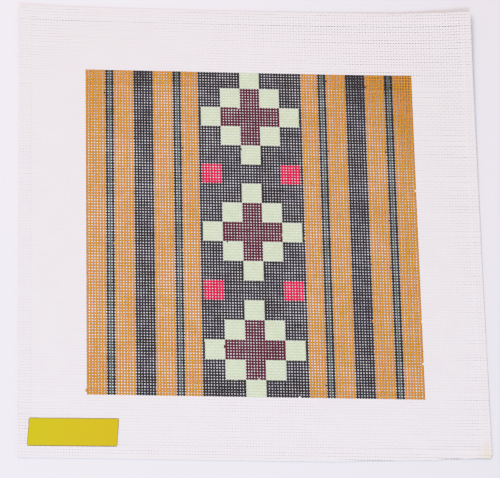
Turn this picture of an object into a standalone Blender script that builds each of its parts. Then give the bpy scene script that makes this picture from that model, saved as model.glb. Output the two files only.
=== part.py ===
"""A painted needlepoint canvas panel, lying face up: one hemmed square of stiff mono canvas, and its label.

Units are metres and +Z is up.  The panel lies in the XY plane with its lower edge towards -Y.  The origin
is under the middle of its outline, on the surface that it rests on.

"Grain" coordinates (s, t) run along the threads, s to the right and t up, from the middle of the painted
square.  The canvas is pulled a little off square, so the upright threads lean to the left at the top.
"""
import math

import bmesh
import bpy

# Canvas: the count of its weave sets the size of everything on it
INCH = 0.0254
THREADS_PER_INCH = 13
PITCH = INCH / THREADS_PER_INCH             # one thread and the hole beside it
PAINTED_THREADS = 117                       # the painted square, 9 in each way
PAINTED_HALF = PAINTED_THREADS * PITCH / 2
LEAN = 0.034                                # sideways lean of the upright threads, per metre of height
PULL = 0.0018                               # the top right corner is pulled up out of square by this much
PULL_REACH = (0.034, 0.040)                 # how far that reaches in from the corner, across and down

# Bare canvas between the painted square and the folded edge
MARGIN_LEFT = 0.0463
MARGIN_RIGHT = 0.0434
MARGIN_TOP = 0.0445
MARGIN_BOTTOM = 0.0427
BOTTOM_RISE = 0.0040                        # the lower fold runs up off the grain towards its right end
BOTTOM_RISE_STARTS = 0.6                    # share of the width where it begins to

# Thickness: the body is one layer, and the hem is a second one folded under it
LAYER = 0.0012
HEM_LAYER = 0.0010
HEM_WIDTH = 0.0078
HEM_SLOPE = 0.0040                          # the front face eases down over this width at the hem's inner edge
FOLD_ROUND = 0.0005                         # rounding of the folded edge

# How far the edges and corners curl up off the surface: height, then reach across and reach up or down
CORNER_LIFTS = {
    "top right": (0.0046, 0.058, 0.078),
    "top left": (0.0022, 0.045, 0.032),
    "bottom right": (0.0010, 0.030, 0.034),
}
SIDE_LIFTS = {
    "right": (0.0007, 0.018),
    "top": (0.0010, 0.018),
    "left": (0.0008, 0.012),
}
LIFT_FALL = 1.3                             # how steeply a lift fades, as a power of the distance
LIFT_CUT = 0.00035                          # below this height the canvas lies flat on the surface

INNER_CELLS = 24                            # cells between the hems, each way

# Label: a paper strip stuck on the front, at the lower left corner
LABEL_WIDTH = 0.0601
LABEL_HEIGHT = 0.0187
LABEL_LEFT = 0.0063                         # from the left fold, at the label's lower corner
LABEL_BOTTOM = 0.0078                       # from the lower fold
LABEL_LEAN = 0.0008                         # its upper corners stand this far to the right
LABEL_THICKNESS = 0.0004
LABEL_GAP = 0.0004                          # clear space under it
LABEL_CELLS = (30, 10)


def mix(start, end, share):
    return start + (end - start) * share


def side_bottom(width_share):
    past = max(0.0, (width_share - BOTTOM_RISE_STARTS) / (1 - BOTTOM_RISE_STARTS))
    return -PAINTED_HALF - MARGIN_BOTTOM + BOTTOM_RISE * past ** 2


SIDE_LEFT = -PAINTED_HALF - MARGIN_LEFT
SIDE_RIGHT = PAINTED_HALF + MARGIN_RIGHT
SIDE_TOP = PAINTED_HALF + MARGIN_TOP


def fade(distance, reach):
    return math.exp(-((max(distance, 0.0) / reach) ** LIFT_FALL))


def leaned(s, t):
    """Turn grain coordinates into X and Y, before the outline is centred."""
    pull = fade(SIDE_RIGHT - s, PULL_REACH[0]) * fade(SIDE_TOP - t, PULL_REACH[1])
    return s - LEAN * t, t + PULL * pull


def outline_middle():
    corners = [leaned(SIDE_LEFT, SIDE_TOP), leaned(SIDE_RIGHT, SIDE_TOP),
               leaned(SIDE_LEFT, side_bottom(0)), leaned(SIDE_RIGHT, side_bottom(1))]
    xs = [x for x, _ in corners]
    ys = [y for _, y in corners]
    return (min(xs) + max(xs)) / 2, (min(ys) + max(ys)) / 2


MIDDLE = outline_middle()


def world(s, t, z):
    x, y = leaned(s, t)
    return x - MIDDLE[0], y - MIDDLE[1], z


def edge_distances(s, t):
    across = (s - SIDE_LEFT) / (SIDE_RIGHT - SIDE_LEFT)
    return {"left": s - SIDE_LEFT, "right": SIDE_RIGHT - s,
            "top": SIDE_TOP - t, "bottom": t - side_bottom(across)}


def lift(s, t):
    """Height of the underside: nothing where the canvas lies flat, more towards its curled corners."""
    gap = edge_distances(s, t)
    height = sum(rise * fade(gap[side], reach) for side, (rise, reach) in SIDE_LIFTS.items())
    for corner, (rise, reach_across, reach_up) in CORNER_LIFTS.items():
        end, side = corner.split()
        height += rise * fade(gap[side], reach_across) * fade(gap[end], reach_up)
    return max(0.0, height - LIFT_CUT)


def hem_rise(s, t):
    """Extra thickness of the folded hem, easing down at its inner edge."""
    nearest = min(edge_distances(s, t).values())
    return HEM_LAYER * min(max((HEM_WIDTH + HEM_SLOPE / 2 - nearest) / HEM_SLOPE, 0.0), 1.0)


def front(s, t):
    return lift(s, t) + LAYER + hem_rise(s, t)


def stations(length):
    """Distances of the grid's lines from one fold to the other, closer together over the hems."""
    hem = [0.0, (HEM_WIDTH - HEM_SLOPE / 2) / 2, HEM_WIDTH - HEM_SLOPE / 2, HEM_WIDTH + HEM_SLOPE / 2]
    inner = length - 2 * hem[-1]
    between = [hem[-1] + inner * cell / INNER_CELLS for cell in range(1, INNER_CELLS)]
    return hem + between + [length - distance for distance in reversed(hem)]


def canvas_place(column, row):
    """Grain coordinates of a crossing of the grid's lines."""
    columns = stations(SIDE_RIGHT - SIDE_LEFT)
    rows = stations(SIDE_TOP - side_bottom(0))
    across = columns[column] / columns[-1]
    up = rows[row] / rows[-1]
    return mix(SIDE_LEFT, SIDE_RIGHT, across), mix(side_bottom(across), SIDE_TOP, up)


def sheet_body(cells, place, low, high):
    """A closed sheet: a grid of cells laid out by place(), between the heights low() and high()."""
    across, up = cells
    bm = bmesh.new()
    bmesh.ops.create_grid(bm, x_segments=across, y_segments=up, size=0.5)
    for vert in bm.verts:
        vert.co.x = round((vert.co.x + 0.5) * across)
        vert.co.y = round((vert.co.y + 0.5) * up)
    grown = bmesh.ops.extrude_face_region(bm, geom=bm.faces[:], use_keep_orig=True)
    raised = {item for item in grown["geom"] if isinstance(item, bmesh.types.BMVert)}
    for vert in bm.verts:
        s, t = place(round(vert.co.x), round(vert.co.y))
        vert.co = world(s, t, high(s, t) if vert in raised else low(s, t))
    bmesh.ops.recalc_face_normals(bm, faces=bm.faces)
    return bm


def rim_edges(bm):
    """The two loops of edges where a face or the back meets the rim."""
    upright = {face for face in bm.faces if abs(face.normal.z) < 0.3}
    return [edge for edge in bm.edges if sum(face in upright for face in edge.link_faces) == 1]


def finish(name, bm, material):
    mesh = bpy.data.meshes.new(name)
    bm.normal_update()
    bm.to_mesh(mesh)
    bm.free()
    mesh.shade_smooth()
    mesh.set_sharp_from_angle(angle=0.6)
    mesh.materials.append(material)
    obj = bpy.data.objects.new(name, mesh)
    bpy.context.scene.collection.objects.link(obj)
    return obj


def finish_material(name, colour, roughness):
    material = bpy.data.materials.new(name)
    material.use_nodes = True
    shader = material.node_tree.nodes["Principled BSDF"]
    shader.inputs["Base Color"].default_value = (*colour, 1.0)
    shader.inputs["Roughness"].default_value = roughness
    shader.inputs["Metallic"].default_value = 0.0
    return material


def make_canvas():
    lines = len(stations(1.0)) - 1
    bm = sheet_body((lines, lines), canvas_place, lift, front)
    bmesh.ops.bevel(bm, geom=rim_edges(bm), offset=FOLD_ROUND, segments=1, affect="EDGES")
    return finish("canvas", bm, finish_material("sized cotton canvas", (0.80, 0.76, 0.80), 0.85))


def label_place(column, row):
    """Grain coordinates of a crossing of the label's grid."""
    right = LABEL_WIDTH * column / LABEL_CELLS[0]
    up = LABEL_HEIGHT * row / LABEL_CELLS[1]
    straightened = (LABEL_LEAN / LABEL_HEIGHT + LEAN) * up
    return SIDE_LEFT + LABEL_LEFT + right + straightened, side_bottom(0) + LABEL_BOTTOM + up


def make_label():
    def underside(s, t):
        return front(s, t) + LABEL_GAP

    def face(s, t):
        return underside(s, t) + LABEL_THICKNESS

    bm = sheet_body(LABEL_CELLS, label_place, underside, face)
    return finish("label", bm, finish_material("yellow paper", (0.66, 0.58, 0.03), 0.6))


def main():
    for obj in list(bpy.data.objects):
        bpy.data.objects.remove(obj, do_unlink=True)
    make_canvas()
    make_label()


main()
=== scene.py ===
"""A painted needlepoint canvas panel, lying face up: its woven threads, paint, hem, label and a plain stage.

Units are metres and +Z is up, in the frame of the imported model.  Two sets of flat coordinates are used:

* grain coordinates (s, t) run along the threads, s to the right and t up, from the middle of the design;
* thread coordinates (u, v) count threads, u to the right and v down, and go on past the folds of the hem,
  so that they stand for a place on the canvas as it was before the hem was folded under.
"""
import math

import bpy
import numpy as np
from bpy.props import FloatProperty, FloatVectorProperty, IntProperty, PointerProperty
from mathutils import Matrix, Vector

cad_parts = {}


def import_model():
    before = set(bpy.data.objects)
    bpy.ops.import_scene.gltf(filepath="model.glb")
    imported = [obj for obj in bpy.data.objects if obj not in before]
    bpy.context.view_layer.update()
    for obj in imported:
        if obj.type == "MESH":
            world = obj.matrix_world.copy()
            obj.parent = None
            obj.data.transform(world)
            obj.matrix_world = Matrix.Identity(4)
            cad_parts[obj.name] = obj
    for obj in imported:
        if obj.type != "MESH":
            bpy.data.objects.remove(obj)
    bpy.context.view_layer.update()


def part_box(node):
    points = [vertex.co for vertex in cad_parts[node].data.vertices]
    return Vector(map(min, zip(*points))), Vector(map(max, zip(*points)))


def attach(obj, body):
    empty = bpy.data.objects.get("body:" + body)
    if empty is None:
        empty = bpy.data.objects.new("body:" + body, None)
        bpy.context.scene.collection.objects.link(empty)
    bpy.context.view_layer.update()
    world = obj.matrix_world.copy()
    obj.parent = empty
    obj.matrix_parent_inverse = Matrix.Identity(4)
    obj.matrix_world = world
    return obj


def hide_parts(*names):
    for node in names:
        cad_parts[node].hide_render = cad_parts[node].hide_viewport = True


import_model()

bl_info = {
    "name": "Needlepoint Canvas Panel",
    "version": (1, 0, 0),
    "blender": (4, 5, 0),
    "location": "View3D > Sidebar > Needlepoint",
    "description": "Weaves, paints, hems and labels a needlepoint canvas panel thread by thread",
    "category": "Object",
}

# ---------------------------------------------------------------- driving dimensions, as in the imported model

INCH = 0.0254
THREADS_PER_INCH = 13
PITCH = INCH / THREADS_PER_INCH             # one thread and the hole beside it
PAINTED_THREADS = 117                       # the design, 9 in each way
PAINTED_HALF = PAINTED_THREADS * PITCH / 2
MIDDLE_THREAD = (PAINTED_THREADS + 1) / 2   # the design's threads are numbered from 1
LEAN = 0.034                                # sideways lean of the upright threads, per metre of height
PULL = 0.0018                               # the top right corner is pulled up out of square by this much
PULL_REACH = (0.034, 0.040)                 # how far that reaches in from the corner, across and down

MARGIN_LEFT = 0.0463                        # bare canvas between the design and each fold
MARGIN_RIGHT = 0.0434
MARGIN_TOP = 0.0445
MARGIN_BOTTOM = 0.0427
BOTTOM_RISE = 0.0040                        # the lower fold runs up off the grain towards its right end
BOTTOM_RISE_STARTS = 0.6

HEM_LAYER = 0.00062                         # how much higher the face lies over the folded hem

# How far the edges and corners curl up off the surface: height, then reach across and reach up or down
CORNER_LIFTS = {
    "top right": (0.0046, 0.058, 0.078),
    "top left": (0.0022, 0.045, 0.032),
    "bottom right": (0.0010, 0.030, 0.034),
}
SIDE_LIFTS = {
    "right": (0.0007, 0.018),
    "top": (0.0010, 0.018),
    "left": (0.0008, 0.012),
}
LIFT_FALL = 1.3
LIFT_CUT = 0.00035

LABEL_WIDTH = 0.0601
LABEL_HEIGHT = 0.0187
LABEL_LEFT = 0.0063
LABEL_BOTTOM = 0.0078
LABEL_LEAN = 0.0008

FRAME_TOLERANCE = 0.002                     # how near the frame's solids have to be to these dimensions

SIDE_LEFT = -PAINTED_HALF - MARGIN_LEFT
SIDE_RIGHT = PAINTED_HALF + MARGIN_RIGHT
SIDE_TOP = PAINTED_HALF + MARGIN_TOP

# ---------------------------------------------------------------- how the cloth lies

FOLD_RADIUS = HEM_LAYER / 2                 # to the middle of the cloth, where it turns under
HALF_CLOTH = 0.0003                         # half the thickness of one layer of the weave
FOLD_INSET = FOLD_RADIUS + HALF_CLOTH       # the turn starts this far inside the outline
LOWEST_LAYER = 0.00034                      # height of the middle of the layer that lies on the surface
FACE_SLOPE = (0.0066, 0.0094)               # the face comes down over this stretch, inwards from the edge
RETURN_THREADS = 3.55                       # length of canvas from the start of a fold to its cut end
FOLD_THREADS = math.pi * FOLD_RADIUS / PITCH
FOLD_STEPS = 4                              # stretches of a thread round a fold
ARC_SHARE = 0.7                             # how far round a fold a cross thread goes that ends in it
SHORT_OF_FOLD = 0.4                         # how far before a fold one stops that has no room in it
PAST_FOLD = 0.2                             # how far past the other folds an upright in the turn of one goes
SLOPE_STEP = 0.25                           # for finding where a cross thread meets the sloping lower fold

FIRST_UPRIGHT, LAST_UPRIGHT = -26, 142      # every thread of the piece, hem included
FIRST_CROSS, LAST_CROSS = -25, 142
HEM_ROWS = {"top": -18, "bottom": 135}      # only the cross threads between these turn under at the sides
CLEAR_OF_HEM = {"top": -17.6, "bottom": 131.6}   # what lies under the side hems keeps between these
BANDS = 6                                   # pieces of the weave; each has a sixth of the threads of each way


def side_bottom(width_share):
    past = np.maximum(0.0, (width_share - BOTTOM_RISE_STARTS) / (1 - BOTTOM_RISE_STARTS))
    return -PAINTED_HALF - MARGIN_BOTTOM + BOTTOM_RISE * past ** 2


def width_share(s):
    return (s - SIDE_LEFT) / (SIDE_RIGHT - SIDE_LEFT)


def fade(distance, reach):
    return np.exp(-((np.maximum(distance, 0.0) / reach) ** LIFT_FALL))


def leaned(s, t):
    """Turn grain coordinates into X and Y, before the outline is centred."""
    pull = fade(SIDE_RIGHT - s, PULL_REACH[0]) * fade(SIDE_TOP - t, PULL_REACH[1])
    return s - LEAN * t, t + PULL * pull


def outline_middle():
    corners = [leaned(SIDE_LEFT, SIDE_TOP), leaned(SIDE_RIGHT, SIDE_TOP),
               leaned(SIDE_LEFT, side_bottom(0.0)), leaned(SIDE_RIGHT, side_bottom(1.0))]
    xs = [x for x, _ in corners]
    ys = [y for _, y in corners]
    return (min(xs) + max(xs)) / 2, (min(ys) + max(ys)) / 2


MIDDLE_X, MIDDLE_Y = outline_middle()


def world(s, t, z):
    """Places in the model's frame, one row each."""
    s, t, z = np.broadcast_arrays(s, t, z)
    x, y = leaned(s, t)
    return np.stack([x - MIDDLE_X, y - MIDDLE_Y, z], axis=-1)


def edge_distances(s, t):
    return {"left": s - SIDE_LEFT, "right": SIDE_RIGHT - s,
            "top": SIDE_TOP - t, "bottom": t - side_bottom(width_share(s))}


def lift(s, t):
    """Height of the underside over the surface."""
    gap = edge_distances(s, t)
    height = sum(rise * fade(gap[side], reach) for side, (rise, reach) in SIDE_LIFTS.items())
    for corner, (rise, reach_across, reach_up) in CORNER_LIFTS.items():
        end, side = corner.split()
        height = height + rise * fade(gap[side], reach_across) * fade(gap[end], reach_up)
    return np.maximum(0.0, height - LIFT_CUT)


def smooth(share):
    """From 0 to 1, with no corner at either end."""
    share = np.clip(share, 0.0, 1.0)
    return share * share * (3 - 2 * share)


def hem_rise(s, t, slope=FACE_SLOPE):
    """How much higher the face lies where the hem is folded under it."""
    nearest = np.minimum.reduce(list(edge_distances(s, t).values()))
    full, none = slope
    return HEM_LAYER * smooth((none - nearest) / (none - full))


def grain(u, v):
    return (u - MIDDLE_THREAD) * PITCH, (MIDDLE_THREAD - v) * PITCH


def settled(fold, way):
    """Move a fold by up to a quarter of a thread, so that what it turns under lies beneath the holes."""
    under = 2 * fold + way * FOLD_THREADS
    return fold + (math.floor(under) + 0.5 - under) / 2


FOLD_LEFT_U = settled(MIDDLE_THREAD + (SIDE_LEFT + FOLD_INSET) / PITCH, -1)
FOLD_RIGHT_U = settled(MIDDLE_THREAD + (SIDE_RIGHT - FOLD_INSET) / PITCH, 1)
FOLD_TOP_V = settled(MIDDLE_THREAD - (SIDE_TOP - FOLD_INSET) / PITCH, -1)
FOLD_LEFT = (FOLD_LEFT_U - MIDDLE_THREAD) * PITCH
FOLD_RIGHT = (FOLD_RIGHT_U - MIDDLE_THREAD) * PITCH
FOLD_TOP = (MIDDLE_THREAD - FOLD_TOP_V) * PITCH
FLAT_BOTTOM_V = MIDDLE_THREAD - (float(side_bottom(0.0)) + FOLD_INSET) / PITCH
BOTTOM_INSET = FOLD_INSET + (FLAT_BOTTOM_V - settled(FLAT_BOTTOM_V, 1)) * PITCH


def fold_bottom(s):
    return side_bottom(width_share(s)) + BOTTOM_INSET


def fold_bottom_v(u):
    s = np.clip((u - MIDDLE_THREAD) * PITCH, SIDE_LEFT, SIDE_RIGHT)
    return MIDDLE_THREAD - fold_bottom(s) / PITCH


def turned(past):
    """How far the cloth has turned, in radians, at a length past the start of a fold."""
    return np.clip(past / FOLD_RADIUS, 0.0, math.pi)


def rolled(past):
    """How far outside the start of a fold that point then lies; it comes back in once it is under."""
    return FOLD_RADIUS * np.sin(turned(past)) - np.maximum(past - math.pi * FOLD_RADIUS, 0.0)


def cloth_place(u, v):
    """Middle of the cloth at thread coordinates, and its directions across and up, one row each."""
    s, t = grain(*np.broadcast_arrays(np.asarray(u, float), np.asarray(v, float)))
    past = {"left": FOLD_LEFT - s, "right": s - FOLD_RIGHT, "top": t - FOLD_TOP, "bottom": fold_bottom(s) - t}
    across_turn = turned(past["right"]) - turned(past["left"])
    up_turn = turned(past["top"]) - turned(past["bottom"])
    t = np.where(past["top"] > 0, FOLD_TOP + rolled(past["top"]), t)
    t = np.where(past["bottom"] > 0, fold_bottom(s) - rolled(past["bottom"]), t)
    s = np.where(past["left"] > 0, FOLD_LEFT - rolled(past["left"]), s)
    s = np.where(past["right"] > 0, FOLD_RIGHT + rolled(past["right"]), s)
    turn = np.maximum(np.abs(across_turn), np.abs(up_turn))
    rise = np.where(turn > 0, FOLD_RADIUS * (1 + np.cos(turn)), hem_rise(s, t))
    middle = world(s, t, lift(s, t) + LOWEST_LAYER + rise)
    none = np.zeros_like(s)
    across = np.stack([np.cos(across_turn), none, -np.sin(across_turn)], axis=-1)
    up = np.stack([-LEAN * np.cos(up_turn), np.cos(up_turn), -np.sin(up_turn)], axis=-1)
    return middle, across, up


# ---------------------------------------------------------------- the design, as a chart

PAINTS = ("bare", "ochre", "black", "green", "mint", "maroon", "red")
LEFT_STRIPES = (
    ("ochre", 7), ("black", 1), ("green", 1), ("black", 1), ("ochre", 7), ("black", 7),
    ("ochre", 7), ("black", 1), ("green", 1), ("black", 1), ("ochre", 6),
)
SQUARE = 7                                  # threads in each square of the middle band
FIRST_SQUARE_THREAD = 42                    # the band's first square starts here, after one black thread
SQUARES_ACROSS = 5
DIAMOND_ROWS = (2, 8, 14)
RED_ROWS = (5, 11)


def stripe_threads():
    """Paint of each thread across the left stripes, from the edge to the middle band."""
    return [PAINTS.index(name) for name, threads in LEFT_STRIPES for _ in range(threads)]


def square_paint(column, row):
    """Paint of a square of the middle band: stepped diamonds with a cross inside, and red squares between."""
    middle = SQUARES_ACROSS // 2
    nearest = min(abs(column - middle) + abs(row - diamond) for diamond in DIAMOND_ROWS)
    if nearest == 2:
        return PAINTS.index("mint")
    if nearest < 2:
        return PAINTS.index("maroon")
    if row in RED_ROWS and column in (0, SQUARES_ACROSS - 1):
        return PAINTS.index("red")
    return PAINTS.index("black")


def make_chart():
    """Paint of every crossing of the design, [upright thread, cross thread], with bare canvas round it."""
    chart = np.zeros((PAINTED_THREADS + 2, PAINTED_THREADS + 2), dtype=int)
    chart[1:-1, 1:-1] = PAINTS.index("black")
    for column, paint in enumerate(stripe_threads()):
        chart[1 + column, 1:-1] = paint
        chart[PAINTED_THREADS - column, 1:-1] = paint
    for upright in range(SQUARES_ACROSS * SQUARE):
        for cross in range(1, PAINTED_THREADS + 1):
            paint = square_paint(upright // SQUARE, cross // SQUARE)
            chart[FIRST_SQUARE_THREAD + upright, cross] = paint
    return chart


CHART = make_chart()


def paint_at(upright, cross):
    """Paint of crossings anywhere on the canvas; it is bare outside the design."""
    inside = (upright >= 1) & (upright <= PAINTED_THREADS) & (cross >= 1) & (cross <= PAINTED_THREADS)
    near_upright = np.clip(upright, 0, PAINTED_THREADS + 1)
    near_cross = np.clip(cross, 0, PAINTED_THREADS + 1)
    return np.where(inside, CHART[near_upright, near_cross], 0)


# ---------------------------------------------------------------- how much paint lies where

# Pools where the brush left more paint: place in threads, reach across and down, and how full the holes are
POOLS = (
    (3, 4, 6, 18, 0.40), (3, 117, 6, 12, 0.35), (21, 1, 6, 7, 0.45), (97, 1, 5, 9, 0.35),
    (14, 4, 5, 14, 0.25), (34, 1, 6, 8, 0.25), (81, 6, 5, 14, 0.20), (90, 2, 5, 12, 0.35),
    (104, 1, 4, 12, 0.45), (115, 1, 6, 8, 0.25), (115, 40, 5, 60, 0.15), (104, 105, 5, 25, 0.10),
)
PAINT_LOAD = {
    "bare": 0.0, "ochre": 0.18, "black": 0.30, "green": 0.02, "mint": 2.0, "maroon": 0.22, "red": 0.40,
}
SWELL = 0.55                                # how much wider a fully loaded thread is
CLOSED_PAINTS = ("bare", "mint")            # where cross threads nearly touch, and only thin slits are open
CLOSED_SLOTS = [PAINTS.index(name) for name in CLOSED_PAINTS]
CLOSED_SWELL = {"upright": 0.05, "cross": 0.83}
CLOSED_UNEVENNESS = 0.2                     # the share of their thick and thin places that shows there
DAB_SHARES = ((7.0, 0.30), (2.2, 0.34))     # uneven paint: threads across a patch, and how much it adds
PATCH_GRID = 64                             # values each way, before they repeat
PATCH_START = 40.0                          # the grid starts this many threads before the design


def patches(u, v, threads, seed):
    """Smooth patches between 0 and 1, about that many threads across."""
    values = np.random.default_rng(seed).random((PATCH_GRID, PATCH_GRID))
    across, down = (np.asarray(u) + PATCH_START) / threads, (np.asarray(v) + PATCH_START) / threads
    left, top = np.floor(across).astype(int), np.floor(down).astype(int)
    right_share, low_share = smooth(across - left), smooth(down - top)
    left, top = left % (PATCH_GRID - 1), top % (PATCH_GRID - 1)
    upper = values[left, top] * (1 - right_share) + values[left + 1, top] * right_share
    lower = values[left, top + 1] * (1 - right_share) + values[left + 1, top + 1] * right_share
    return upper * (1 - low_share) + lower * low_share


def paint_load(u, v, paint):
    """How much paint the threads hold at thread coordinates: 0 for none, about 1 where it fills the holes."""
    base = np.array([PAINT_LOAD[name] for name in PAINTS])[paint]
    pools = sum(full * np.exp(-((u - pool_u) / across) ** 2 - ((v - pool_v) / down) ** 2)
                for pool_u, pool_v, across, down, full in POOLS)
    dabs = sum(share * (patches(u, v, threads, seed) - 0.5)
               for seed, (threads, share) in enumerate(DAB_SHARES))
    return np.where(paint > 0, np.maximum(base + pools + dabs, 0.0), base)


# ---------------------------------------------------------------- what a user would change


def tint(red, green, blue):
    """A colour as read off a screen, 0 to 255, as the light values that materials take."""
    shares = [value / 255 for value in (red, green, blue)]
    return tuple(x / 12.92 if x <= 0.04045 else ((x + 0.055) / 1.055) ** 2.4 for x in shares)


def length_property(name, description, default, most):
    return FloatProperty(name=name, description=description, default=default, min=0.0, max=most,
                         precision=5, subtype="DISTANCE", unit="LENGTH")


def colour_property(name, description, default):
    return FloatVectorProperty(name=name, description=description, default=default, min=0.0, max=1.0,
                               size=3, subtype="COLOR")


class WeaveSettings(bpy.types.PropertyGroup):
    """Sizes of the threads and how evenly they lie."""
    thread_width: length_property("Thread width", "Width of one flattened thread", 0.00093, 0.0018)
    thread_height: length_property("Thread height", "Thickness of one thread", 0.00026, 0.001)
    wave: length_property("Wave", "How far a thread rises and falls as it crosses others", 0.00013, 0.0006)
    unevenness: FloatProperty(name="Unevenness", description="How far threads stray sideways, in threads",
                              default=0.035, min=0.0, max=0.2)
    seed: IntProperty(name="Seed", description="Chooses another set of uneven threads", default=13, min=0)


class PaintSettings(bpy.types.PropertyGroup):
    """Colours of the canvas and its paints."""
    bare: colour_property("Canvas", "Sized cotton with no paint on it", tint(208, 206, 205))
    ochre: colour_property("Ochre", "Wide stripes", tint(197, 142, 51))
    black: colour_property("Black", "Dark stripes and the ground of the middle band", tint(55, 52, 50))
    green: colour_property("Green", "Single threads between two black ones", tint(84, 95, 86))
    mint: colour_property("Mint", "Squares round each diamond", tint(187, 194, 178))
    maroon: colour_property("Maroon", "Crosses inside the diamonds", tint(90, 44, 53))
    red: colour_property("Red", "Small squares between the diamonds", tint(213, 28, 73))


class HemSettings(bpy.types.PropertyGroup):
    """The machine stitching that holds the hem."""
    stitch_threads: IntProperty(name="Stitch", description="Canvas threads that one stitch passes over",
                                default=2, min=1, max=4)
    sewing_thread: length_property("Sewing thread", "Thickness of the white sewing thread", 0.00028, 0.001)
    colour: colour_property("Colour", "White sewing thread", tint(246, 244, 247))


class LabelSettings(bpy.types.PropertyGroup):
    """The paper label at the lower left corner."""
    thickness: length_property("Thickness", "Thickness of the paper", 0.0002, 0.0004)
    corner: length_property("Corners", "Radius of the rounded corners", 0.0009, 0.004)
    colour: colour_property("Colour", "Yellow of the paper", tint(176, 161, 35))
    # edge: the colour of a darker band along the paper's edge and of its rim
    edge: colour_property("Edge", "Browned edge of the paper", tint(140, 118, 34))


class StageSettings(bpy.types.PropertyGroup):
    """Floor and light."""
    floor: colour_property("Floor", "Plain pale floor", tint(216, 215, 217))
    key_power: FloatProperty(name="Key light", description="Power of the light below the lower edge",
                             default=12.1, min=0.0, unit="POWER")
    overhead_power: FloatProperty(name="Overhead light", description="Power of the broad light on the left",
                                  default=11.9, min=0.0, unit="POWER")
    fill: FloatProperty(name="Fill light", description="Strength of the light from all round",
                        default=0.665, min=0.0)


class NeedlepointSettings(bpy.types.PropertyGroup):
    """Everything about the panel that a user would change."""
    weave: PointerProperty(type=WeaveSettings)
    paint: PointerProperty(type=PaintSettings)
    hem: PointerProperty(type=HemSettings)
    label: PointerProperty(type=LabelSettings)
    stage: PointerProperty(type=StageSettings)


# ---------------------------------------------------------------- mesh and material helpers


class MeshParts:
    """Gathers closed shells made of quads or triangles, and joins them into one mesh."""

    def __init__(self, corners):
        self.corners = corners
        self.places, self.faces, self.slots, self.maps = [], [], [], []
        self.count = 0

    def add(self, places, faces, slots, maps=None):
        """maps holds a place in the flat map for each corner of each face."""
        self.places.append(places)
        self.faces.append(np.asarray(faces) + self.count)
        self.slots.append(np.broadcast_to(slots, len(faces)))
        if maps is not None:
            self.maps.append(maps)
        self.count += len(places)

    def make(self, name, materials, flat_slots=()):
        """One object; the faces whose material is in flat_slots are shaded flat, and the rest smooth."""
        mesh = bpy.data.meshes.new(name)
        slots = np.concatenate(self.slots).astype(np.int32)
        faces = np.concatenate(self.faces).astype(np.int32)
        mesh.vertices.add(self.count)
        mesh.vertices.foreach_set("co", np.concatenate(self.places).astype(np.float32).ravel())
        mesh.loops.add(faces.size)
        mesh.loops.foreach_set("vertex_index", faces.ravel())
        mesh.polygons.add(len(faces))
        mesh.polygons.foreach_set("loop_start", np.arange(0, faces.size, self.corners, dtype=np.int32))
        mesh.polygons.foreach_set("material_index", slots)
        mesh.update(calc_edges=True)
        mesh.polygons.foreach_set("use_smooth", ~np.isin(slots, list(flat_slots)))
        if self.maps:
            flat_map = mesh.uv_layers.new(name="OFBake")
            flat_map.uv.foreach_set("vector", np.concatenate(self.maps).astype(np.float32).ravel())
        for material in materials:
            mesh.materials.append(material)
        obj = bpy.data.objects.new(name, mesh)
        bpy.context.scene.collection.objects.link(obj)
        return obj


def scaled(colour, factors):
    """A colour with its red, green and blue each multiplied."""
    return tuple(min(1.0, part * factor) for part, factor in zip(colour, factors))


# Patterns of noise: features per metre, detail, roughness
PATTERNS = {
    "fibres": (2600.0, 3.0, 0.7),           # of cotton, under paint or size
    "clouds": (70.0, 2.0, 0.5),             # broad patches on the bare canvas
    "patches": (70.0, 3.0, 0.6),            # broad patches of stronger and weaker paint
    "brush": (160.0, 2.0, 0.6),             # uneven paint, a few threads across
    "thin": (700.0, 2.0, 0.5),              # where paint is thin and the cotton shows
    "paper": (900.0, 3.0, 0.5),
}
MOST_OF_IT = (0.3, 0.7)                     # a window that takes in most of a pattern
RELIEF_STRENGTH = 0.5
FIBRE_DEPTH = 0.00005
PAPER_DEPTH = 0.00002

# Second tones: the pattern that brings one in, its window, the most that shows, and the tone as factors
CLOUDED = ("clouds", (0.35, 0.65), 1.0, (0.98, 0.97, 0.975))
FIBROUS = ("fibres", MOST_OF_IT, 0.35, (0.94, 0.92, 0.94))
TWISTED = ("fibres", MOST_OF_IT, 1.0, (0.88, 0.88, 0.88))
BRUSHED = ("brush", (0.35, 0.7), 0.45, (0.88, 0.84, 0.80))
THICKER = ("thin", (0.36, 0.28), 0.5, (0.78, 0.60, 0.62))
GRAINED = ("paper", MOST_OF_IT, 0.25, (0.90, 0.88, 0.80))
PATCH_WINDOW = (0.38, 0.62)
THIN_WINDOW = (0.74, 0.86)                  # before a paint's own share of thin places comes off
THIN_MOST = 0.5
# Painted shade: the factors that darken the colour between the cross threads
ROW_SHADE_TONE = (0.74, 0.78, 0.62)

# Roughness, by a pattern or plain, and the strength of the shine
COTTON_ROUGHNESS, COTTON_SHINE = (0.62, 0.78), 0.35
PAINT_ROUGHNESS, PAINT_SHINE = (-0.08, 0.12), 0.4          # the range is added to each paint's own
PAPER_ROUGHNESS, PAPER_SHINE = (0.42, 0.56), 0.15
FLOOR_ROUGHNESS, FLOOR_SHINE = 0.9, 0.1
PLAIN_ROUGHNESS = 0.7

# The colour sockets of a mixing node
MIX_SHARE, MIX_FIRST, MIX_SECOND, MIX_RESULT = 0, 6, 7, 2


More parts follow.
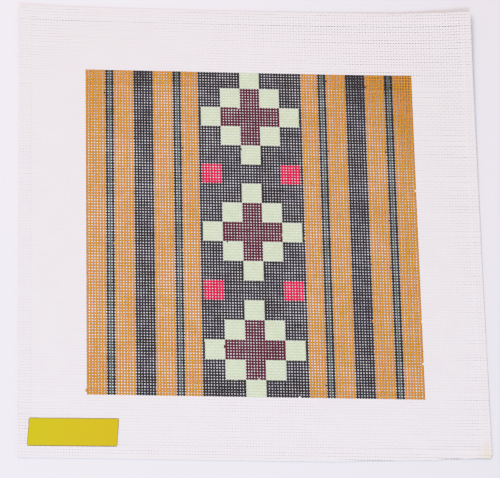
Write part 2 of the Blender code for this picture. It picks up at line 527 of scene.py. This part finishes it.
class Finish:
    """A material being made: patterns vary its tone, its shine and its relief."""

    def __init__(self, name, colour):
        self.material = bpy.data.materials.new(name)
        self.material.use_nodes = True
        self.tree = self.material.node_tree
        self.shader = self.tree.nodes["Principled BSDF"]
        self.place = self.node("ShaderNodeTexCoord").outputs["Object"]
        self.colour = self.tone = tuple(colour)
        self.patterns = {}

    def put(self, socket, value):
        """Link a socket to a node's output, or give it a value."""
        if isinstance(value, bpy.types.NodeSocket):
            self.tree.links.new(value, socket)
        else:
            socket.default_value = (*value, 1.0) if socket.type == "RGBA" else value

    def node(self, kind, inputs=None, **settings):
        made = self.tree.nodes.new(kind)
        for name, value in settings.items():
            setattr(made, name, value)
        for name, value in (inputs or {}).items():
            self.put(made.inputs[name], value)
        return made

    def pattern(self, name):
        if name not in self.patterns:
            scale, detail, roughness = PATTERNS[name]
            made = self.node("ShaderNodeTexNoise", {"Vector": self.place, "Scale": scale, "Detail": detail,
                                                    "Roughness": roughness})
            self.patterns[name] = made.outputs["Fac"]
        return self.patterns[name]

    def spread(self, value, window, onto=(0.0, 1.0)):
        """Stretch a window of a value onto another range, and clip it there."""
        made = self.node("ShaderNodeMapRange", {"Value": value, "From Min": window[0], "From Max": window[1],
                                                "To Min": onto[0], "To Max": onto[1]})
        return made.outputs["Result"]

    def across(self, start, end):
        """From 0 to 1 between two places along X."""
        parts = self.node("ShaderNodeSeparateXYZ", {"Vector": self.place})
        return self.spread(parts.outputs["X"], (start, end))

    def blend(self, share, second):
        """Bring in a second colour, by a share that varies from place to place."""
        made = self.node("ShaderNodeMix", {MIX_SHARE: share, MIX_FIRST: self.tone, MIX_SECOND: second},
                         data_type="RGBA")
        self.tone = made.outputs[MIX_RESULT]

    def layer(self, pattern, window, most, factors):
        """Bring in the colour times some factors, up to a share, where a pattern is far into its window."""
        self.blend(self.spread(self.pattern(pattern), window, (0.0, most)), scaled(self.colour, factors))

    def relief(self, pattern, depth):
        bump = self.node("ShaderNodeBump", {"Height": self.pattern(pattern), "Distance": depth,
                                            "Strength": RELIEF_STRENGTH})
        self.put(self.shader.inputs["Normal"], bump.outputs["Normal"])

    def rough(self, pattern, onto):
        """Roughness that follows a pattern over a range."""
        return self.spread(self.pattern(pattern), MOST_OF_IT, onto)

    def done(self, roughness, shine=None):
        self.put(self.shader.inputs["Base Color"], self.tone)
        self.put(self.shader.inputs["Roughness"], roughness)
        if shine is not None:
            self.put(self.shader.inputs["Specular IOR Level"], shine)
        return self.material


# ---------------------------------------------------------------- finishes of the canvas

# For each paint: its second tone as factors; the share that is thin; how much painted shade it takes on
# between the cross threads; its roughness
PAINT_LOOKS = {
    "ochre": ((1.08, 0.97, 2.00), 0.05, 0.15, 0.62),
    "black": ((1.25, 1.30, 1.75), 0.04, 0.0, 0.58),
    "green": ((1.25, 1.20, 1.15), 0.06, 0.2, 0.60),
    "mint": ((0.95, 0.98, 0.90), 0.02, 0.65, 0.60),
    "maroon": ((1.30, 1.15, 1.20), 0.04, 0.1, 0.58),
    "red": ((1.02, 1.35, 1.25), 0.03, 0.1, 0.55),
}
WAVE_NODE_SCALE = 20                        # a wave node multiplies its scale by this
TIP_SHADE_PLACE = (0.162, -0.153, 0.002)        # painted shade: the lower right tip is painted a brownish darker tone
TIP_SHADE_REACH = 0.010
TIP_SHADE_SHARE = 0.5
TIP_SHADE_COLOUR = tint(206, 190, 160)


def bare_canvas(colour):
    made = Finish("sized_cotton", colour)
    made.relief("fibres", FIBRE_DEPTH)
    made.layer(*CLOUDED)
    made.layer(*FIBROUS)
    # painted shade on the lower right tip, brownish and fading out within a centimetre
    tip_shade = made.node("ShaderNodeVectorMath", {0: made.place, 1: TIP_SHADE_PLACE}, operation="DISTANCE")
    made.blend(made.spread(tip_shade.outputs["Value"], (0.0, TIP_SHADE_REACH), (TIP_SHADE_SHARE, 0.0)), TIP_SHADE_COLOUR)
    return made.done(made.rough("fibres", COTTON_ROUGHNESS), COTTON_SHINE)


def row_shade_mask(made):
    """From 0 on the middle of each cross thread to 1 halfway to the next, where painted shade goes."""
    turns = 2 * math.pi / PITCH
    wave = made.node("ShaderNodeTexWave", {"Vector": made.place, "Scale": turns / WAVE_NODE_SCALE,
                                           "Phase Offset": turns * MIDDLE_Y}, bands_direction="Y")
    return wave.outputs["Fac"]


def painted_canvas(name, colour, cotton):
    second, thin_share, row_shade_share, roughness = PAINT_LOOKS[name]
    made = Finish(name + "_paint", colour)
    made.relief("fibres", FIBRE_DEPTH)
    made.layer("patches", PATCH_WINDOW, 1.0, second)
    made.layer(*BRUSHED)
    # painted shade between the cross threads, deepest halfway between them
    made.patterns["row_shade"] = row_shade_mask(made)
    made.layer("row_shade", (0.0, 1.0), row_shade_share, ROW_SHADE_TONE)
    window = [edge - thin_share for edge in THIN_WINDOW]
    made.blend(made.spread(made.pattern("thin"), window, (0.0, THIN_MOST)), cotton)
    made.layer(*THICKER)
    return made.done(made.rough("brush", [roughness + more for more in PAINT_ROUGHNESS]), PAINT_SHINE)


def canvas_finishes(paint):
    """Materials of the threads, in the order of PAINTS, made once and shared by the pieces."""
    kept = bpy.data.materials
    bare = kept.get("sized_cotton") or bare_canvas(paint.bare)
    return [bare] + [kept.get(name + "_paint") or painted_canvas(name, getattr(paint, name), paint.bare)
                     for name in PAINTS[1:]]


# ---------------------------------------------------------------- the weave

RING = 4                                    # corners of a thread's flattened section
STRAY_WAVES = ((70.0, 0.5), (23.0, 0.35), (9.0, 0.25))   # length in threads, share of the unevenness
SLUB_WAVES = ((31.0, 0.030), (12.0, 0.030), (4.3, 0.025))  # the same for a thread's width
OFFSET_SHARE = 0.6                          # of the unevenness, in where a whole thread lies
WIDTH_SPREAD = 0.035                        # between whole threads
FLATTENING = 0.05                           # how much wider a thread is at its crossings than between them
ROLLED_UP = 0.7                             # share of its width that a thread on edge in a fold loses
BLEED_SHARE = 0.006                         # half threads that took the paint of the next square
LEAST_APART = 0.12                          # how near two stations along a thread may be

MAP_EDGE = 0.004                            # share of the flat map kept for the cut ends of the threads
MAP_CAP = 0.0032                            # how much of that they take
MAP_STRIP = (0.08, 0.92)                    # where a thread's sides lie in its strip of the map
MAP_CAP_STRIP = (0.1, 0.9)                  # and where its cut ends do


class Uneven:
    """Slow sideways straying and thick and thin places along one thread."""

    def __init__(self, rng, unevenness):
        self.offset = rng.normal(0.0, unevenness * OFFSET_SHARE)
        self.width = rng.normal(1.0, WIDTH_SPREAD)
        self.phases = rng.uniform(0.0, 2 * math.pi, (2, len(STRAY_WAVES)))
        self.unevenness = unevenness

    @staticmethod
    def waves(shape, phases, along):
        return sum(share * np.sin(2 * math.pi * along / length + phase)
                   for (length, share), phase in zip(shape, phases))

    def stray(self, along):
        return self.offset + self.unevenness * self.waves(STRAY_WAVES, self.phases[0], along)

    def girth(self, along):
        return self.width + self.waves(SLUB_WAVES, self.phases[1], along)


def stations(start, end, folds):
    """Places along a thread: two to a thread on the face, some round each fold, one to a thread under it."""
    low, high = folds
    turns = np.arange(FOLD_STEPS + 1) * FOLD_THREADS / FOLD_STEPS
    face = np.arange(math.ceil(low * 2), math.floor(high * 2) + 1) / 2
    under_low = np.arange(math.ceil(start), math.floor(low - FOLD_THREADS) + 1)
    under_high = np.arange(math.ceil(high + FOLD_THREADS), math.floor(end) + 1)
    along = np.unique(np.concatenate([[start, end], under_low, low - turns, face, high + turns, under_high]))
    along = along[(along >= start) & (along <= end)]
    apart = np.diff(along, prepend=along[0] - 1) > LEAST_APART
    apart[-1] = True
    apart[-2] = apart[-2] and along[-1] - along[-2] > LEAST_APART
    return along[apart]


def ring_faces(count):
    """Quads of a closed thread of that many stations, its two ends last."""
    ring = np.arange(RING)
    here = np.arange(count - 1)[:, None] * RING
    after = (ring + 1) % RING
    sides = np.stack([here + ring, here + after, here + RING + after, here + RING + ring], axis=-1)
    last = (count - 1) * RING
    ends = np.array([[3, 2, 1, 0], [last, last + 1, last + 2, last + 3]])
    return np.concatenate([sides.reshape(-1, RING), ends])


def ring_places(middle, wide, high):
    """Corners of a thread's section at each place along it."""
    return np.stack([middle + wide, middle + high, middle - wide, middle - high], axis=1).reshape(-1, 3)


def ring_maps(along, row, rows):
    """A strip of the flat map for one thread: along it, then its four sides beside each other."""
    share = (along - along[0]) / (along[-1] - along[0])
    share = MAP_EDGE + (1 - 2 * MAP_EDGE) * share
    low, high = share[:-1, None], share[1:, None]
    first, last = MAP_STRIP
    side_low = (row + first + (last - first) * np.arange(RING) / RING) / rows
    side_high = side_low + (last - first) / RING / rows
    low, high, side_low, side_high = np.broadcast_arrays(low, high, side_low, side_high)
    sides = np.stack([np.stack([low, side_low], -1), np.stack([low, side_high], -1),
                      np.stack([high, side_high], -1), np.stack([high, side_low], -1)], axis=2)
    bottom, top = ((row + edge) / rows for edge in MAP_CAP_STRIP)
    start = [[0.0, bottom], [MAP_CAP, bottom], [MAP_CAP, top], [0.0, top]]
    end = [[1.0 - MAP_CAP, bottom], [1.0, bottom], [1.0, top], [1.0 - MAP_CAP, top]]
    return np.concatenate([sides.reshape(-1, 2), start, end])


def crossing_paint(thread, others, crosses):
    """Paint of a thread at its crossings with some others."""
    return paint_at(others, thread) if crosses else paint_at(thread, others)


def thread_course(along, line, crosses):
    """Middle of the cloth along a thread, and the thread's directions forward and sideways."""
    if crosses:
        return cloth_place(along, line)
    middle, across, up = cloth_place(line, along)
    return middle, up, -across


def thread_frame(weave, thread, along, line, crosses):
    """Middle of a thread that dips and rises through the others, and its directions sideways and outwards."""
    middle, forward, side = thread_course(along, line, crosses)
    normal = np.cross(forward, side)
    normal /= np.linalg.norm(normal, axis=1, keepdims=True)
    sign = 1.0 if crosses else -1.0
    return middle + normal * (sign * weave.wave * np.cos(math.pi * (along + thread)))[:, None], side, normal


def thread_size(weave, uneven, along, line, here, crosses):
    """Half the width and half the height of a thread along its length, by the paint that is on it."""
    u, v = (along, line) if crosses else (line, along)
    closed = np.isin(here, CLOSED_SLOTS)
    girth = 1 + (uneven.girth(along) - 1) * np.where(closed, CLOSED_UNEVENNESS, 1.0)
    flattened = 1 + np.where(closed, 0.0, FLATTENING) * np.cos(2 * math.pi * along)
    closed_swell = CLOSED_SWELL["cross" if crosses else "upright"]
    swell = np.where(closed, closed_swell, SWELL * np.minimum(paint_load(u, v, here), 1.0))
    return weave.thread_width / 2 * girth * flattened * (1 + swell), weave.thread_height / 2 * girth


def bled_crossings(rng, along):
    """The crossing that each half thread takes its paint from; a few take it from the next one."""
    halves = (along[:-1] + along[1:]) / 2
    nearest = np.round(halves).astype(int)
    bled = rng.random(len(nearest)) < BLEED_SHARE
    return np.where(bled, nearest + np.where(halves > nearest, 1, -1), nearest)


def weave_thread(parts, weave, rng, thread, along, crosses, row, rows):
    """One thread.  A cross thread runs along u at v = thread, and an upright one along v at u = thread."""
    uneven = Uneven(rng, weave.unevenness)
    line = thread + uneven.stray(along)
    middle, side, normal = thread_frame(weave, thread, along, line, crosses)
    here = crossing_paint(thread, np.round(along).astype(int), crosses)
    half_width, half_height = thread_size(weave, uneven, along, line, here, crosses)
    half_width = half_width * (1 - ROLLED_UP * np.abs(side[:, 2]))
    paint = crossing_paint(thread, bled_crossings(rng, along), crosses)
    slots = np.concatenate([np.repeat(paint, RING), [0, 0]])
    places = ring_places(middle, side * half_width[:, None], normal * half_height[:, None])
    parts.add(places, ring_faces(len(along)), slots, ring_maps(along, row, rows))


def cross_thread_ends(cross):
    """Where a cross thread starts and ends: most turn under, and those over or in a hem stop at the fold."""
    on_arc = FOLD_THREADS * ARC_SHARE
    inner_left, inner_right = FOLD_LEFT_U + SHORT_OF_FOLD, FOLD_RIGHT_U - SHORT_OF_FOLD
    if HEM_ROWS["top"] < cross < HEM_ROWS["bottom"]:
        right = RETURN_THREADS if cross <= CLEAR_OF_HEM["bottom"] else on_arc
        return FOLD_LEFT_U - RETURN_THREADS, FOLD_RIGHT_U + right
    if cross < FOLD_TOP_V:
        return inner_left, inner_right
    uprights = np.arange(FOLD_LEFT_U, FOLD_RIGHT_U, SLOPE_STEP)
    past = cross - fold_bottom_v(uprights)
    present = uprights[past < RETURN_THREADS]
    left = FOLD_LEFT_U - on_arc if past[0] < 0 else inner_left
    if past[-1] < 0:
        return left, FOLD_RIGHT_U + on_arc
    return left, min(present[-1], inner_right)


def upright_thread_ends(upright):
    """The same for an upright thread.  Those under the side hems stop short of the upper and lower hems."""
    if upright < FOLD_LEFT_U - FOLD_THREADS or upright > FOLD_RIGHT_U + FOLD_THREADS:
        return CLEAR_OF_HEM["top"], CLEAR_OF_HEM["bottom"]
    bottom = float(fold_bottom_v(float(upright)))
    if upright < FOLD_LEFT_U or upright > FOLD_RIGHT_U:
        return FOLD_TOP_V - PAST_FOLD, bottom + PAST_FOLD
    return FOLD_TOP_V - RETURN_THREADS, bottom + RETURN_THREADS


def band_share(band, first, last):
    """The threads from first to last that belong to one piece of the weave."""
    count = last - first + 1
    return [thread for thread in range(first, last + 1) if (thread - first) * BANDS // count == band]


def weave_band(band, weave, materials):
    parts = MeshParts(RING)
    crosses = band_share(band, FIRST_CROSS, LAST_CROSS)
    uprights = band_share(band, FIRST_UPRIGHT, LAST_UPRIGHT)
    rows = len(crosses) + len(uprights)
    rng = np.random.default_rng((weave.seed, band))
    for row, cross in enumerate(crosses):
        along = stations(*cross_thread_ends(cross), (FOLD_LEFT_U, FOLD_RIGHT_U))
        weave_thread(parts, weave, rng, cross, along, True, row, rows)
    for row, upright in enumerate(uprights, start=len(crosses)):
        bottom = float(fold_bottom_v(float(upright)))
        along = stations(*upright_thread_ends(upright), (FOLD_TOP_V, bottom))
        weave_thread(parts, weave, rng, upright, along, False, row, rows)
    return parts.make(weave_names()[band], materials, CLOSED_SLOTS)


def weave_names():
    return [f"canvas_threads_{band + 1}" for band in range(BANDS)]


def hold(piece, slot_name, *replaced):
    """Attach a piece to the root body, and hide the imported parts that it stands in for."""
    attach(piece, "root")
    if replaced:
        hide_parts(*replaced)


class NEEDLEPOINT_OT_weave_canvas(bpy.types.Operator):
    """Weave the canvas thread by thread, fold its hem under and paint the design on it"""
    bl_idname = "needlepoint.weave_canvas"
    bl_label = "Weave and paint the canvas"

    def execute(self, context):
        settings = context.scene.needlepoint
        low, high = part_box("canvas")
        width = SIDE_RIGHT - SIDE_LEFT + LEAN * (SIDE_TOP - side_bottom(0.0))
        if abs(high.x - low.x - width) > FRAME_TOLERANCE:
            raise RuntimeError("the canvas in the frame isn't as wide as its driving dimensions say")
        materials = canvas_finishes(settings.paint)
        for band in range(BANDS):
            piece = weave_band(band, settings.weave, materials)
            hold(piece, "canvas", "canvas")
        return {"FINISHED"}


# ---------------------------------------------------------------- paint left in the holes

FILM_LOADS = (0.70, 1.15)                   # paint load where a hole may be filled, and where it surely is
FILM_REACH = 0.31                           # from the middle of a hole into the threads round it
FILM_REACH_SHARES = (0.92, 1.0)
FILM_RISE = 0.00014                         # a film stands a little over the middle of the cloth
FILM_RISE_SHARES = (0.5, 1.3)
FILM_BODY = 0.00006
FILM_CORNERS = np.array([[-1, 1], [1, 1], [1, -1], [-1, -1]])
FILM_FACES = np.array([(corner, (corner + 1) % 4, 4) for corner in range(4)]
                      + [((corner + 1) % 4, corner, 5) for corner in range(4)])
FILM_SEED = 100                             # added to the weave's own seed


def filled_holes(rng):
    """The holes that hold a film of paint: the place of each one's middle, and its paint."""
    threads = np.arange(1, PAINTED_THREADS)
    upright, cross = (grid.ravel() for grid in np.meshgrid(threads, threads, indexing="ij"))
    paint = paint_at(upright, cross)
    alike = np.logical_and.reduce([paint_at(upright + a, cross + b) == paint for a in (0, 1) for b in (0, 1)])
    u, v = upright + 0.5, cross + 0.5
    low, high = FILM_LOADS
    likely = smooth((paint_load(u, v, paint) - low) / (high - low))
    chosen = alike & (rng.random(len(u)) < likely)
    return u[chosen], v[chosen], paint[chosen]


class NEEDLEPOINT_OT_fill_holes(bpy.types.Operator):
    """Leave films of paint in some of the holes of the design"""
    bl_idname = "needlepoint.fill_holes"
    bl_label = "Leave paint in the holes"

    def execute(self, context):
        settings = context.scene.needlepoint
        rng = np.random.default_rng(settings.weave.seed + FILM_SEED)
        parts = MeshParts(3)
        u, v, paint = filled_holes(rng)
        if not len(u):
            raise RuntimeError("no hole of the design was filled")
        reach = FILM_REACH * rng.uniform(*FILM_REACH_SHARES, (len(u), 4))
        corner_u = u[:, None] + FILM_CORNERS[:, 0] * reach
        corner_v = v[:, None] - FILM_CORNERS[:, 1] * reach
        places = np.concatenate([cloth_place(corner_u, corner_v)[0], np.zeros((len(u), 2, 3))], axis=1)
        places[:, 4:] = cloth_place(u[:, None], v[:, None])[0]
        places[:, 4, 2] += FILM_RISE * rng.uniform(*FILM_RISE_SHARES, len(u))
        places[:, 5, 2] -= FILM_BODY
        faces = FILM_FACES[:, ::-1] + np.arange(len(u))[:, None, None] * places.shape[1]
        parts.add(places.reshape(-1, 3), faces.reshape(-1, 3), np.repeat(paint, len(FILM_FACES)))
        piece = parts.make("paint_in_holes", canvas_finishes(settings.paint), range(len(PAINTS)))
        hold(piece, "canvas")
        return {"FINISHED"}


# ---------------------------------------------------------------- hem stitching

STITCH_ROW = 3.5                            # from the start of the fold to the row of holes that it uses
# One stitch: share of its length, height over the middle of the cloth
STITCH_SHAPE = ((0.0, -0.00020), (0.14, 0.00028), (0.5, 0.00038), (0.86, 0.00028), (1.0, -0.00020))


def stitch_route(start, end, row, crosses):
    """Five places along one stitch, from one hole of the canvas to another."""
    along = np.array([start + (end - start) * share for share, _ in STITCH_SHAPE])
    middle, forward, side = thread_course(along, np.full(len(along), row), crosses)
    middle[:, 2] += [rise for _, rise in STITCH_SHAPE]
    return middle, forward, side


def stitch_lines():
    """The four rows of holes that the stitches use: (row, first hole, last hole, runs across)."""
    left = math.floor(FOLD_LEFT_U + STITCH_ROW) + 0.5
    right = math.ceil(FOLD_RIGHT_U - STITCH_ROW) - 0.5
    top = math.floor(FOLD_TOP_V + STITCH_ROW) + 0.5
    bottom = math.ceil(float(fold_bottom_v(FOLD_LEFT_U)) - STITCH_ROW) - 0.5
    return [(top, left, right, True), (bottom, left, right, True),
            (left, top, bottom, False), (right, top, bottom, False)]


class NEEDLEPOINT_OT_stitch_hem(bpy.types.Operator):
    """Sew the folded hem down with a row of small white stitches"""
    bl_idname = "needlepoint.stitch_hem"
    bl_label = "Stitch the hem"

    def execute(self, context):
        hem = context.scene.needlepoint.hem
        parts = MeshParts(RING)
        half = hem.sewing_thread / 2
        for row, first, last, crosses in stitch_lines():
            for stitch in range(int((last - first) // hem.stitch_threads)):
                start = first + stitch * hem.stitch_threads
                middle, forward, side = stitch_route(start, start + hem.stitch_threads, row, crosses)
                places = ring_places(middle, side * half, np.cross(forward, side) * half)
                parts.add(places, ring_faces(len(middle)), 0)
        piece = parts.make("hem_stitching", [self.sewing_cotton(hem.colour)])
        hold(piece, "canvas")
        return {"FINISHED"}

    @staticmethod
    def sewing_cotton(colour):
        made = Finish("sewing_cotton", colour)
        made.relief("fibres", FIBRE_DEPTH)
        made.layer(*TWISTED)
        return made.done(PLAIN_ROUGHNESS)


# ---------------------------------------------------------------- label

LABEL_GAP = 0.00005                         # clear space between the threads and the paper
LABEL_SLOPE = (0.0060, 0.0170)              # stiff paper comes down from the hem more gently than the cloth
LABEL_ROWS = 14
LABEL_COLUMNS = 40
LABEL_CORNER_STEPS = 5
LABEL_TILT = 0.0004                         # its right end is this much higher than its left one
LABEL_EDGE = 0.0004                         # width of the darker band along its edge
LABEL_TONES = ((0.97, 1.03, 1.0), (1.0, 0.94, 0.95))   # a little greener at its left end than at its right
LABEL_SHARP = math.radians(40)              # its edges stay sharp past this angle
ROUNDING = 1.01                             # widths are compared with this much to spare


def label_columns(radius):
    """Shares of the label's width, closer together where its corners are round."""
    quarter = np.linspace(0, math.pi / 2, LABEL_CORNER_STEPS)
    corner = radius / LABEL_WIDTH * (1 - np.cos(quarter))
    corner = np.sort(np.append(corner, LABEL_EDGE / LABEL_WIDTH))
    middle = np.linspace(corner[-1], 1 - corner[-1], LABEL_COLUMNS)[1:-1]
    return np.concatenate([corner, middle, 1 - corner[::-1]])


def label_rows():
    edge = LABEL_EDGE / LABEL_HEIGHT
    return np.concatenate([[0.0], np.linspace(edge, 1 - edge, LABEL_ROWS + 1), [1.0]])


def label_place(across, up, radius):
    """Grain coordinates on the label; its ends are drawn in so that its corners are round."""
    from_end = np.minimum(across, 1 - across) * LABEL_WIDTH
    inside = np.clip(radius - from_end, 0.0, radius)
    drawn_in = radius - np.sqrt(radius ** 2 - inside ** 2)
    height = drawn_in + (LABEL_HEIGHT - 2 * drawn_in) * up + LABEL_TILT * across
    straightened = (LABEL_LEAN / LABEL_HEIGHT + LEAN) * height
    s = SIDE_LEFT + LABEL_LEFT + LABEL_WIDTH * across + straightened
    return s, side_bottom(0.0) + LABEL_BOTTOM + height


def paper_height(s, t):
    return lift(s, t) + LOWEST_LAYER + hem_rise(s, t, LABEL_SLOPE) + HALF_CLOTH + LABEL_GAP


def label_paper(colour):
    """Smooth coated paper."""
    made = Finish("yellow_paper", colour)
    made.relief("paper", PAPER_DEPTH)
    low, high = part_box("label")
    made.tone, right = (scaled(made.colour, factors) for factors in LABEL_TONES)
    made.blend(made.across(low.x, high.x), right)
    made.layer(*GRAINED)
    return made.done(made.rough("paper", PAPER_ROUGHNESS), PAPER_SHINE)


class NEEDLEPOINT_OT_stick_label(bpy.types.Operator):
    """Lay the paper label on the lower left corner"""
    bl_idname = "needlepoint.stick_label"
    bl_label = "Stick on the label"

    def execute(self, context):
        label = context.scene.needlepoint.label
        columns = label_columns(label.corner)
        rows = label_rows()
        across, up = np.meshgrid(columns, rows, indexing="ij")
        s, t = label_place(across, up, label.corner)
        under = paper_height(s, t)
        _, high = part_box("label")
        if abs(world(s, t, under)[..., 0].max() - high.x) > FRAME_TOLERANCE:
            raise RuntimeError("the label isn't where the frame has it")
        faces = self.closed_grid(len(columns), len(rows))
        parts = MeshParts(4)
        places = np.concatenate([world(s, t, under).reshape(-1, 3),
                                 world(s, t, under + label.thickness).reshape(-1, 3)])
        parts.add(places, faces, self.edge_slots(columns, rows, len(faces)))
        # the darker band along the paper's edge, and its rim
        darker_band = Finish("yellow_paper_edge", label.edge).done(PLAIN_ROUGHNESS)
        piece = parts.make("label_sheet", [label_paper(label.colour), darker_band])
        piece.data.set_sharp_from_angle(angle=LABEL_SHARP)
        hold(piece, "label", "label")
        return {"FINISHED"}

    @staticmethod
    def edge_slots(columns, rows, count):
        """The second material for the cells along the edge, and for the rim."""
        wide = LABEL_EDGE * ROUNDING
        near_end = np.minimum(columns[1:], 1 - columns[:-1]) * LABEL_WIDTH < wide
        near_side = np.minimum(rows[1:], 1 - rows[:-1]) * LABEL_HEIGHT < wide
        upper = (near_end[:, None] | near_side[None, :]).ravel().astype(int)
        return np.concatenate([upper, np.zeros_like(upper), np.ones(count - 2 * len(upper), dtype=int)])

    @staticmethod
    def closed_grid(columns, rows):
        """Quads of two layers of a grid and the rim between them; the upper layer's corners come second."""
        corner = np.arange(columns * rows).reshape(columns, rows)
        top = columns * rows
        a, b, c, d = corner[:-1, :-1], corner[1:, :-1], corner[1:, 1:], corner[:-1, 1:]
        upper = np.stack([a, b, c, d], axis=-1).reshape(-1, 4) + top
        lower = np.stack([d, c, b, a], axis=-1).reshape(-1, 4)
        rim = np.concatenate([corner[:, 0], corner[-1, 1:], corner[-2::-1, -1], corner[0, -2:0:-1]])
        after = np.roll(rim, -1)
        sides = np.stack([rim, after, after + top, rim + top], axis=-1)
        return np.concatenate([upper, lower, sides])


# ---------------------------------------------------------------- stage

CAMERA_LENS = 129.61                        # mm, for a sensor 36 mm wide
CAMERA_TURN = (12.404, -2.1795, 0.6129)     # degrees
CAMERA_PLACE = (-0.04335, -0.27325, 1.20845)
KEY_PLACE = (0.05, -0.80, 1.10)
KEY_SIZE = 0.50
KEY_COLOUR = tint(205, 230, 250)
OVERHEAD_PLACE = (-0.30, 0.25, 1.10)
OVERHEAD_SIZE = 1.00
OVERHEAD_COLOUR = tint(247, 247, 255)
FILL_COLOUR = tint(255, 229, 218)
FLOOR_SIZE = 7.0
FLOOR_SHADE_SPAN = (-0.18, 0.18)                  # from here to there across, the floor is painted darker: painted shade for the light falling off to the right
FLOOR_PAINTED_SHADE = (0.88, 0.88, 0.88)


class NEEDLEPOINT_OT_set_stage(bpy.types.Operator):
    """Put the panel on a plain pale floor, under soft light from below and the left, and aim the camera"""
    bl_idname = "needlepoint.set_stage"
    bl_label = "Set floor, light and camera"

    def execute(self, context):
        stage = context.scene.needlepoint.stage
        self.lay_floor(context, stage)
        self.light(context, stage)
        self.aim_camera(context)
        context.scene.view_settings.view_transform = "Khronos PBR Neutral"
        context.scene.cycles.denoising_prefilter = "NONE"   # or the open weave is smoothed away
        return {"FINISHED"}

    @staticmethod
    def lay_floor(context, stage):
        half = FLOOR_SIZE / 2
        corners = [(-half, -half, 0), (half, -half, 0), (half, half, 0), (-half, half, 0)]
        mesh = bpy.data.meshes.new("floor")
        mesh.from_pydata(corners, [], [(0, 1, 2, 3)])
        floor = bpy.data.objects.new("floor", mesh)
        context.scene.collection.objects.link(floor)
        made = Finish("pale_floor", stage.floor)
        # painted shade: the floor is painted darker towards the right, where the light falls off
        made.blend(made.across(*FLOOR_SHADE_SPAN), scaled(made.colour, FLOOR_PAINTED_SHADE))
        mesh.materials.append(made.done(FLOOR_ROUGHNESS, FLOOR_SHINE))

    @staticmethod
    def light(context, stage):
        lamps = (("key", KEY_PLACE, KEY_SIZE, KEY_COLOUR, stage.key_power),
                 ("overhead", OVERHEAD_PLACE, OVERHEAD_SIZE, OVERHEAD_COLOUR, stage.overhead_power))
        for name, place, size, colour, power in lamps:
            lamp = bpy.data.lights.new(name, "AREA")
            lamp.shape = "DISK"
            lamp.size = size
            lamp.energy = power
            lamp.color = colour
            holder = bpy.data.objects.new(name, lamp)
            holder.location = place
            holder.rotation_euler = (-holder.location).to_track_quat("-Z", "Y").to_euler()
            context.scene.collection.objects.link(holder)
        world_light = bpy.data.worlds.new("room_light")
        world_light.use_nodes = True
        background = world_light.node_tree.nodes["Background"]
        background.inputs["Color"].default_value = (*FILL_COLOUR, 1.0)
        background.inputs["Strength"].default_value = stage.fill
        context.scene.world = world_light

    @staticmethod
    def aim_camera(context):
        lens = bpy.data.cameras.new("camera")
        lens.lens = CAMERA_LENS
        camera = bpy.data.objects.new("camera", lens)
        camera.location = CAMERA_PLACE
        camera.rotation_euler = [math.radians(angle) for angle in CAMERA_TURN]
        context.scene.collection.objects.link(camera)
        context.scene.camera = camera


# ---------------------------------------------------------------- panel and registration


class NEEDLEPOINT_PT_steps(bpy.types.Panel):
    """Lists the steps and the settings of the panel"""
    bl_idname = "NEEDLEPOINT_PT_steps"
    bl_label = "Needlepoint Canvas"
    bl_space_type = "VIEW_3D"
    bl_region_type = "UI"
    bl_category = "Needlepoint"

    def draw(self, context):
        settings = context.scene.needlepoint
        for group_name, operator in STEPS:
            box = self.layout.box()
            group = getattr(settings, group_name)
            for name in group.__annotations__:
                box.prop(group, name)
            box.operator(operator.bl_idname)


STEPS = (
    ("weave", NEEDLEPOINT_OT_weave_canvas),
    ("paint", NEEDLEPOINT_OT_fill_holes),
    ("hem", NEEDLEPOINT_OT_stitch_hem),
    ("label", NEEDLEPOINT_OT_stick_label),
    ("stage", NEEDLEPOINT_OT_set_stage),
)
CLASSES = (
    WeaveSettings, PaintSettings, HemSettings, LabelSettings, StageSettings, NeedlepointSettings,
    *(operator for _, operator in STEPS), NEEDLEPOINT_PT_steps,
)


def register():
    for cls in CLASSES:
        bpy.utils.register_class(cls)
    bpy.types.Scene.needlepoint = PointerProperty(type=NeedlepointSettings)


def unregister():
    del bpy.types.Scene.needlepoint
    for cls in reversed(CLASSES):
        bpy.utils.unregister_class(cls)


def main():
    register()
    bpy.ops.needlepoint.weave_canvas()
    bpy.ops.needlepoint.fill_holes()
    bpy.ops.needlepoint.stitch_hem()
    bpy.ops.needlepoint.stick_label()
    bpy.ops.needlepoint.set_stage()


if __name__ == "__main__":
    main()
